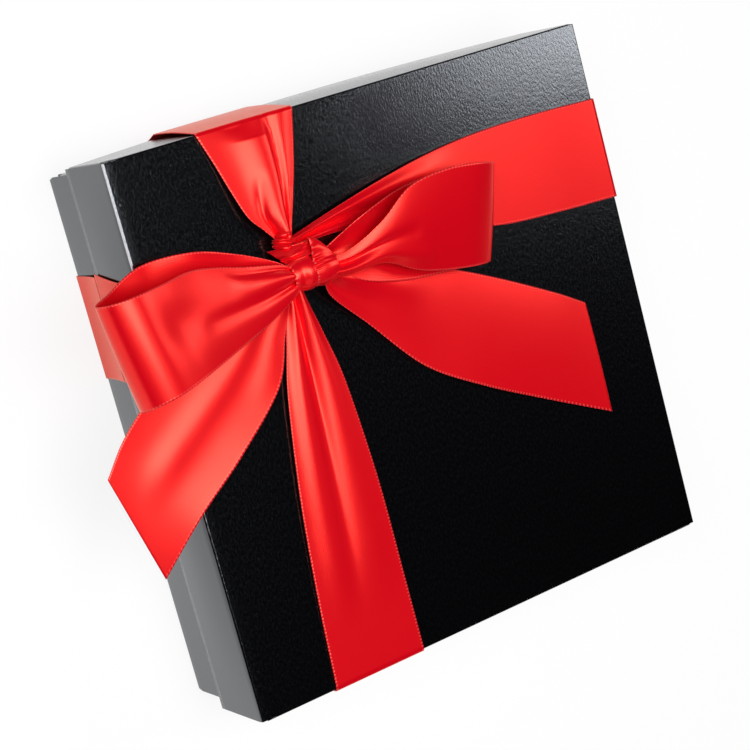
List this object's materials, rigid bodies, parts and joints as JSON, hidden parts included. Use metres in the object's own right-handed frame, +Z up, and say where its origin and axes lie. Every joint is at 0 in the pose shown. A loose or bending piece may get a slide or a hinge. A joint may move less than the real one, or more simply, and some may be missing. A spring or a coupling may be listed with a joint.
{
  "type": "chocolate box",
  "caption": "Square folded-board gift box with a lift-off lid, card dividers and cushion pad for chocolates, tied with a wide satin ribbon and bow.",
  "frame": {"origin": "middle of the underside, on the surface that the box stands on", "axes": "+Z up out of the lid; +X along the lid's back edge, away from the corner that the bow sits near; +Y from the front edge to the back edge"},
  "size_m": [0.2295, 0.2014, 0.0834],
  "materials": {
    "black_board": "satin",
    "red_satin": "satin",
    "divider_card": "matte",
    "liner_paper": "matte",
    "pad_paper": "satin",
    "chocolate_truffles": "satin",
    "chocolate_pralines": "satin",
    "chocolate_caramels": "satin"
  },
  "bodies": {
    "base": {"base_tray": "black_board", "liner": "liner_paper", "ribbon_underside": "red_satin", "ribbon_riser_back": "red_satin", "ribbon_riser_front": "red_satin", "ribbon_riser_left": "red_satin", "ribbon_riser_right": "red_satin", "divider_column_1": "divider_card", "divider_column_2": "divider_card", "divider_column_3": "divider_card", "divider_column_4": "divider_card", "divider_row_1": "divider_card", "divider_row_2": "divider_card", "divider_row_3": "divider_card", "divider_row_4": "divider_card"},
    "chocolates": {"chocolate_caramels": "chocolate_caramels", "chocolate_pralines": "chocolate_pralines", "chocolate_truffles": "chocolate_truffles"},
    "pad": {"cushion_pad": "pad_paper"},
    "lid": {"lid": "black_board"},
    "ribbon": {"ribbon_arm_back": "red_satin", "ribbon_arm_front": "red_satin", "ribbon_arm_left": "red_satin", "ribbon_arm_right": "red_satin", "ribbon_knot": "red_satin", "ribbon_loop_left": "red_satin", "ribbon_loop_right": "red_satin", "ribbon_tail_left": "red_satin", "ribbon_tail_right": "red_satin", "ribbon_tie": "red_satin"}
  },
  "joints": [
    {"name": "chocolates_lift", "type": "slide", "parent": "base", "child": "chocolates", "axis": [0, 0, 1], "range_m": [0, 0.06]},
    {"name": "pad_lift", "type": "slide", "parent": "chocolates", "child": "pad", "axis": [0, 0, 1], "range_m": [0, 0.04]},
    {"name": "lid_lift", "type": "slide", "parent": "pad", "child": "lid", "axis": [0, 0, 1], "range_m": [0, 0.06]},
    {"name": "ribbon_lift", "type": "slide", "parent": "lid", "child": "ribbon", "axis": [0, 0, 1], "range_m": [0, 0.05]}
  ]
}
